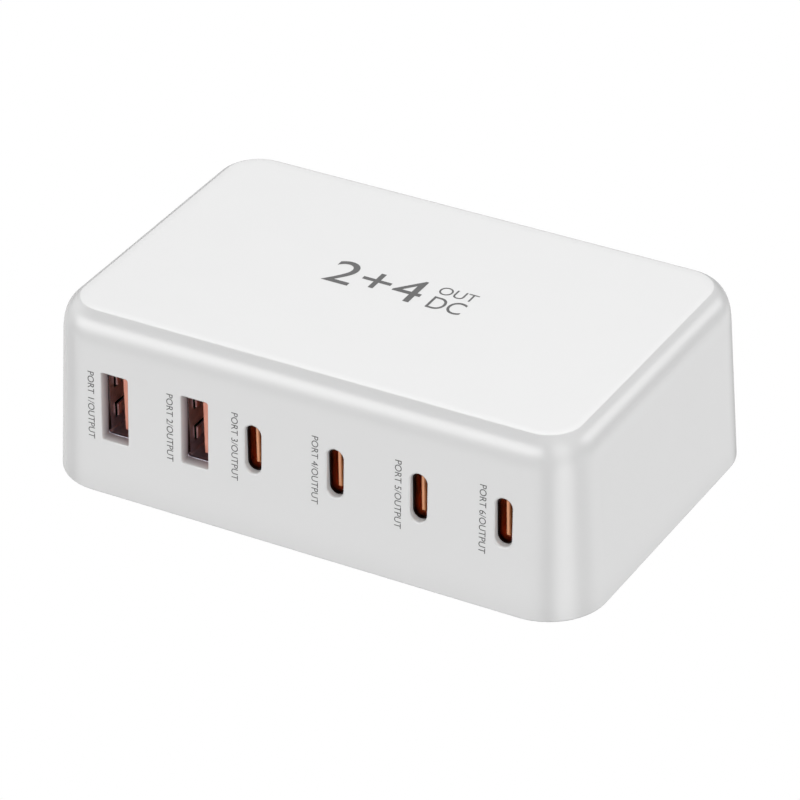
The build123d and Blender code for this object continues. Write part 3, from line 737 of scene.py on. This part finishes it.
finish("inlet_plastic", paint_inlet, IOR=1.48)
finish("pin_nickel", paint_nickel, Metallic=1.0)
finish("foot_rubber", paint_rubber, IOR=1.45)
finish("screw_steel", paint_zinc, Metallic=1.0)
finish("insulation_film", paint_film, IOR=1.5)
print("outside small parts ready")

# %% [markdown]
# Inside, nothing is seen until the cover is off, but each part still looks like what it is. The boards are
# green solder mask over copper. The distance to scattered points, measured in squares, is cut into even
# steps, and part of each step is a lane of copper that shines through the mask.


# %% boards and wound parts
point_spacing, point_scatter, lanes_per_spacing, bare_share = 5 * MM, 0.7, 9.0, 0.62


def paint_board(p):
    away = p.node(
        "ShaderNodeTexVoronoi",
        {"feature": "F1", "distance": "CHEBYCHEV"},
        {"Vector": p, "Scale": 1 / point_spacing, "Randomness": point_scatter},
        "Distance",
    )
    lanes = (away * lanes_per_spacing).apply("FRACT").above(bare_share)
    weave = p.noise(0.35 * MM, 2.0)
    return {
        "Base Color": lanes.blend((0.012, 0.085, 0.04, 1), (0.03, 0.18, 0.085, 1)),
        "Roughness": 0.28 + 0.14 * weave,
        "Bump": 0.00002 * lanes + 0.000004 * weave,
    }


def paint_ferrite(p):
    speck = p.noise(0.22 * MM, 4.0)
    return {
        "Base Color": speck.blend(grey(0.045), grey(0.12)),
        "Roughness": 0.46 + 0.25 * speck,
        "Bump": 0.00001 * speck,
    }


def paint_bobbin(p):
    grain = p.noise(0.4 * MM, 3.0)
    return {
        "Base Color": grain.blend(grey(0.02), grey(0.036)),
        "Roughness": 0.38 + 0.2 * grain,
        "Bump": 0.000008 * grain,
    }


def paint_tape(p):
    wrap = p.noise(2.2 * MM, 3.0, (0.25, 0.25, 1))
    return {
        "Base Color": wrap.blend((0.66, 0.40, 0.02, 1), (0.82, 0.56, 0.06, 1)),
        "Roughness": 0.30 + 0.2 * wrap,
        "Bump": 0.00008 * wrap,
    }


def paint_choke_core(p):
    coat = p.noise(0.9 * MM, 3.0)
    return {
        "Base Color": coat.blend((0.02, 0.13, 0.075, 1), (0.05, 0.22, 0.13, 1)),
        "Roughness": 0.35 + 0.2 * coat,
        "Bump": 0.00002 * coat,
    }


choke_low, choke_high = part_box("choke_core")
choke_middle = (choke_low + choke_high) / 2
choke_turns = 44.0


def paint_copper(p):
    y, z = p.axes()[1:]
    turn = p.math("ARCTAN2", z - choke_middle.z, y - choke_middle.y)
    ridge = (turn * choke_turns).apply("SINE")
    haze = p.noise(1.5 * MM, 2.0)
    return {
        "Base Color": haze.blend((0.58, 0.22, 0.075, 1), (0.72, 0.32, 0.13, 1)),
        "Roughness": 0.22 + 0.14 * haze,
        "Bump": 0.00018 * ridge,
    }


finish("board", paint_board, IOR=1.5)
finish("ferrite", paint_ferrite, IOR=1.6)
finish("bobbin_plastic", paint_bobbin, IOR=1.5)
finish("winding_tape", paint_tape, IOR=1.5)
finish("choke_ferrite", paint_choke_core, IOR=1.5)
finish("copper_wire", paint_copper, Metallic=1.0)
print("boards and wound parts ready")

# %% [markdown]
# The rest of the power parts: shrink-sleeved cans with pale upright stripes, bare output cans, the moulded
# capacitor, the dipped disc, the fuse cap, the bridge, the small inductors, and extruded heat sinks that
# are streaked upwards.


# %% power parts
def paint_can_sleeve(p):
    side = p.noise(7 * MM, 0.0, (1, 1, 0))
    stripe = side.above(0.62)
    gather = p.noise(0.8 * MM, 3.0, (1, 1, 0.2))
    return {
        "Base Color": stripe.blend((0.014, 0.014, 0.022, 1), (0.30, 0.30, 0.32, 1)),
        "Roughness": 0.24 + 0.18 * gather,
        "Bump": 0.000015 * gather,
    }


def paint_bare_can(p):
    spun = p.noise(0.3 * MM, 3.0, (0.2, 0.2, 1))
    return {
        "Base Color": spun.blend(grey(0.62), grey(0.78)),
        "Roughness": 0.22 + 0.18 * spun,
        "Bump": 0.000006 * spun,
    }


def paint_film_box(p):
    grain = p.noise(0.5 * MM, 3.0)
    return {
        "Base Color": grain.blend((0.58, 0.42, 0.05, 1), (0.68, 0.51, 0.08, 1)),
        "Roughness": 0.36 + 0.16 * grain,
        "Bump": 0.00001 * grain,
    }


def paint_disc(p):
    dip = p.noise(1.8 * MM, 3.0)
    return {
        "Base Color": dip.blend((0.02, 0.10, 0.36, 1), (0.04, 0.17, 0.48, 1)),
        "Roughness": 0.20 + 0.15 * dip,
        "Bump": 0.00006 * dip,
    }


def paint_fuse(p):
    flow = p.noise(1.1 * MM, 3.0)
    return {
        "Base Color": flow.blend((0.10, 0.055, 0.028, 1), (0.17, 0.09, 0.045, 1)),
        "Roughness": 0.30 + 0.16 * flow,
        "Bump": 0.00001 * flow,
    }


def paint_epoxy(p):
    grain = p.noise(0.35 * MM, 4.0)
    return {
        "Base Color": grain.blend(grey(0.018), grey(0.034)),
        "Roughness": 0.5 + 0.2 * grain,
        "Bump": 0.00001 * grain,
    }


def paint_sink(p):
    streak = p.noise(0.35 * MM, 4.0, (1, 1, 0.03))
    return {
        "Base Color": streak.blend(grey(0.55), grey(0.74)),
        "Roughness": 0.30 + 0.22 * streak,
        "Bump": 0.00001 * streak,
    }


def paint_inductor(p):
    speck = p.noise(0.3 * MM, 4.0)
    return {
        "Base Color": speck.blend(grey(0.07), grey(0.17)),
        "Roughness": 0.52 + 0.22 * speck,
        "Bump": 0.000015 * speck,
    }


finish("can_sleeve", paint_can_sleeve, IOR=1.5)
finish("bare_can", paint_bare_can, Metallic=1.0)
finish("film_box", paint_film_box, IOR=1.5)
finish("disc_coat", paint_disc, IOR=1.5)
finish("fuse_cap", paint_fuse, IOR=1.5)
finish("bridge_epoxy", paint_epoxy, IOR=1.5)
finish("sink_metal", paint_sink, Metallic=1.0)
finish("inductor_block", paint_inductor, IOR=1.6)
print("power parts ready")

# %% [markdown]
# Every solid has a slot in the part's record, and the slots have the finishes' names, so one pass dresses
# them.

# %% dress the solids
slot_of = {row["node"]: row["material_slot"] for row in frame["record"]["subparts"]}
for name, solid in nodes.items():
    solid.data.materials.clear()
    solid.data.materials.append(bpy.data.materials[slot_of[name]])
print(len(slot_of), "solids dressed in", len(set(slot_of.values())), "finishes")

# %% [markdown]
# The printing is plain grey ink: a count and two words on the top, and beside each socket a line of small
# letters that runs down the wall. Words start as text in the built-in font, become a mesh, are fitted to a
# box in their own plane, and are then carried to the surface, a hair above it.


# %% printed marks
def paint_ink(p):
    screen = p.noise(0.12 * MM, 3.0)
    thin = p.noise(0.9 * MM, 2.0)
    return {
        "Base Color": (0.5 * screen + 0.5 * thin).blend(grey(0.08), grey(0.135)),
        "Roughness": 0.42 + 0.2 * screen,
    }


print_ink = finish("print_ink", paint_ink, IOR=1.5)


def printed(name, words, wide, tall, along, across, corner):
    """Words fitted to a box wide by tall, then carried to corner + x * along + y * across."""
    text = bpy.data.curves.new(name, "FONT")
    text.body = words
    maker = shown(name, text)
    bpy.context.view_layer.update()
    mesh = bpy.data.meshes.new_from_object(maker)
    bpy.data.objects.remove(maker)
    flat = np.empty(len(mesh.vertices) * 3)
    mesh.vertices.foreach_get("co", flat)
    flat = flat.reshape(-1, 3)[:, :2]
    flat = (flat - flat.min(0)) / (flat.max(0) - flat.min(0)) * (wide, tall)
    spot = np.array(corner) + flat[:, :1] * np.array(along) + flat[:, 1:] * np.array(across)
    mesh.vertices.foreach_set("co", spot.ravel())
    mesh.update()
    mesh.materials.clear()
    mesh.materials.append(print_ink)
    piece = shown(name, mesh)
    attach(piece, "root")
    return piece


print("ink ready")

# %% [markdown]
# A mark on the top is given by its name, its words, the size of its box and the box's lower left corner. A
# mark on the front reads downwards beside its socket, with the top of its line at one height for all six.

# %% places of the marks
ink_film = 0.015 * MM
wall_foot = Vector((0, -half_depth, base_z)) * MM
wall_out = Vector((0, -1, lean)).normalized()
wall_down = Vector((0, -lean, -1)).normalized()


def on_front(x, z):
    """Point on the drafted front wall at x and z in millimetres, a film's thickness out."""
    rise = z * MM - wall_foot.z
    return Vector((x * MM, wall_foot.y + rise * lean, z * MM)) + ink_film * wall_out


print_z = top_z * MM + ink_film
top_marks = (
    ("mark_top_large", "2+4", 17.6, 7.35, -13.1, -2.75),
    ("mark_top_lower", "DC", 6.4, 3.9, 6.7, -2.7),
    ("mark_top_upper", "OUT", 7.0, 2.5, 6.4, 2.1),
)
marks = []
for name, words, wide, tall, x, y in top_marks:
    corner = (x * MM, y * MM, print_z)
    marks.append(printed(name, words, wide * MM, tall * MM, (1, 0, 0), (0, 1, 0), corner))
socket_mark_x = (-41.2, -25.75, -13.2, 2.1, 17.7, 33.3)
socket_mark_z, line_long, line_tall = 23.7, 12.7 * MM, 1.25 * MM
for number, x in enumerate(socket_mark_x, 1):
    words = "PORT " + str(number) + "/OUTPUT"
    spot = on_front(x, socket_mark_z)
    name = "mark_socket_" + str(number)
    marks.append(printed(name, words, line_long, line_tall, wall_down, (1, 0, 0), spot))
print(len(marks), "marks printed")

# %% [markdown]
# The floor is a plain white sheet that glows just enough to stay white in the picture. Only the camera sees
# it: the light that a real floor would send back comes from the tent.


# %% floor
def paint_floor(p):
    fleck = p.noise(30 * MM, 2.0)
    return {"Roughness": 0.7 + 0.1 * fleck}


floor_finish = finish("pale_floor", paint_floor, Base_Color=grey(0.0), Specular_IOR_Level=0.0,
                      Emission_Color=grey(1.0), Emission_Strength=1.0)
floor_z, reach = -0.05 * MM, 2.0
sheet = bpy.data.meshes.new("floor")
corners = ((-reach, -reach), (reach, -reach), (reach, reach), (-reach, reach))
sheet.from_pydata([(x, y, floor_z) for x, y in corners], [], [(0, 1, 2, 3)])
sheet.materials.append(floor_finish)
floor = shown("floor", sheet)
floor.visible_diffuse = floor.visible_glossy = floor.visible_shadow = False
print("floor laid")

# %% [markdown]
# The light is a tent all round the block, brighter overhead, with soft lamps behind its cloth. A lamp is
# bright over its whole middle and falls off quickly at its edge, and a boxed lamp has straighter ends. The
# first two lie in the mirror directions of the top and of its front rim. The boxed ones give the front
# shoulder its line of light and light the front wall, two more draw the line down the front corner, and the
# rest light the other sides. Three black flags take light away again, over the front shoulder, over the
# front rim and left of the corner.


# %% lights
def lamp_glow(direction, azimuth, elevation, wide, tall, tilt=0, boxed=False):
    """exp(-q * q) with q = a * a + b * b, where a and b are the direction's reach along the lamp's width
    and height, over the sines of its half angles. A boxed lamp takes a to the fourth power. Azimuth runs
    from the front towards the right, and all angles are in degrees."""
    az, el, turn = radians(azimuth), radians(elevation), radians(tilt)
    middle = direction_of(az, el)
    across = Vector((cos(az), sin(az), 0))
    rising = middle.cross(across)
    a = direction.along((cos(turn) * across + sin(turn) * rising) / sin(radians(wide)))
    b = direction.along((cos(turn) * rising - sin(turn) * across) / sin(radians(tall)))
    q = (a * a * a * a if boxed else a * a) + b * b
    return (0.0 - q * q).apply("EXPONENT") * direction.along(middle).above(0.0)


world = bpy.data.worlds.new("light_tent")
world.use_nodes = True
bpy.context.scene.world = world
tent = world.node_tree
towards = Wire(tent, tent.nodes.new("ShaderNodeTexCoord").outputs["Generated"])
height = towards.along((0, 0, 1))
overhead = height.node(
    "ShaderNodeMapRange",
    {"interpolation_type": "SMOOTHSTEP"},
    {"Value": height, "From Min": -0.06, "From Max": 0.85, "To Min": 0.06, "To Max": 0.75},
)
# What a lamp is for, its radiance, azimuth, elevation, half width, half height, tilt, and if it is boxed
lamps = (
    ("top mirror", 0.93, -152, 25, 24, 20, 0),
    ("front rim", 1.98, -152, 48, 20, 15, 0),
    ("front shoulder", 2.45, -32, 21.5, 43, 17, 13, True),
    ("front wall", 1.05, -27, -30, 39, 12.5, 0, True),
    ("front corner, low", 2.15, 57.5, -25, 20, 16, 0),
    ("front corner, tall", 1.38, 57, 20, 18, 36, 0),
    ("right shoulder", 2.12, 132.5, 20, 23, 13, -25),
    ("right wall", 1.06, 143, -27, 28, 15, 0),
    ("left side", 0.61, -96.5, 11.5, 19.5, 26, 0),
    ("right side", 0.66, 101, -25, 24, 22, 0),
    ("floor behind", 0.68, -130, -30, 46, 18, 0),
)
glow = overhead
for purpose, radiance, *shape in lamps:
    glow = glow + radiance * lamp_glow(towards, *shape)
# Where a flag hangs, its azimuth, elevation, half width and half height
flags = (
    ("over the front shoulder", -48, 56, 28, 20),
    ("over the front rim", -92, 66, 26, 20),
    ("left of the corner", 23, 36, 8.5, 32),
)
for place_name, *shape in flags:
    glow = glow * (1.0 - lamp_glow(towards, *shape))
tent.nodes["Background"].inputs["Color"].default_value = grey(1.0)
tent.links.new(glow.socket, tent.nodes["Background"].inputs["Strength"])
bpy.context.scene.view_settings.view_transform = "Standard"
print("tent lit by", len(lamps), "lamps, with", len(flags), "flags")
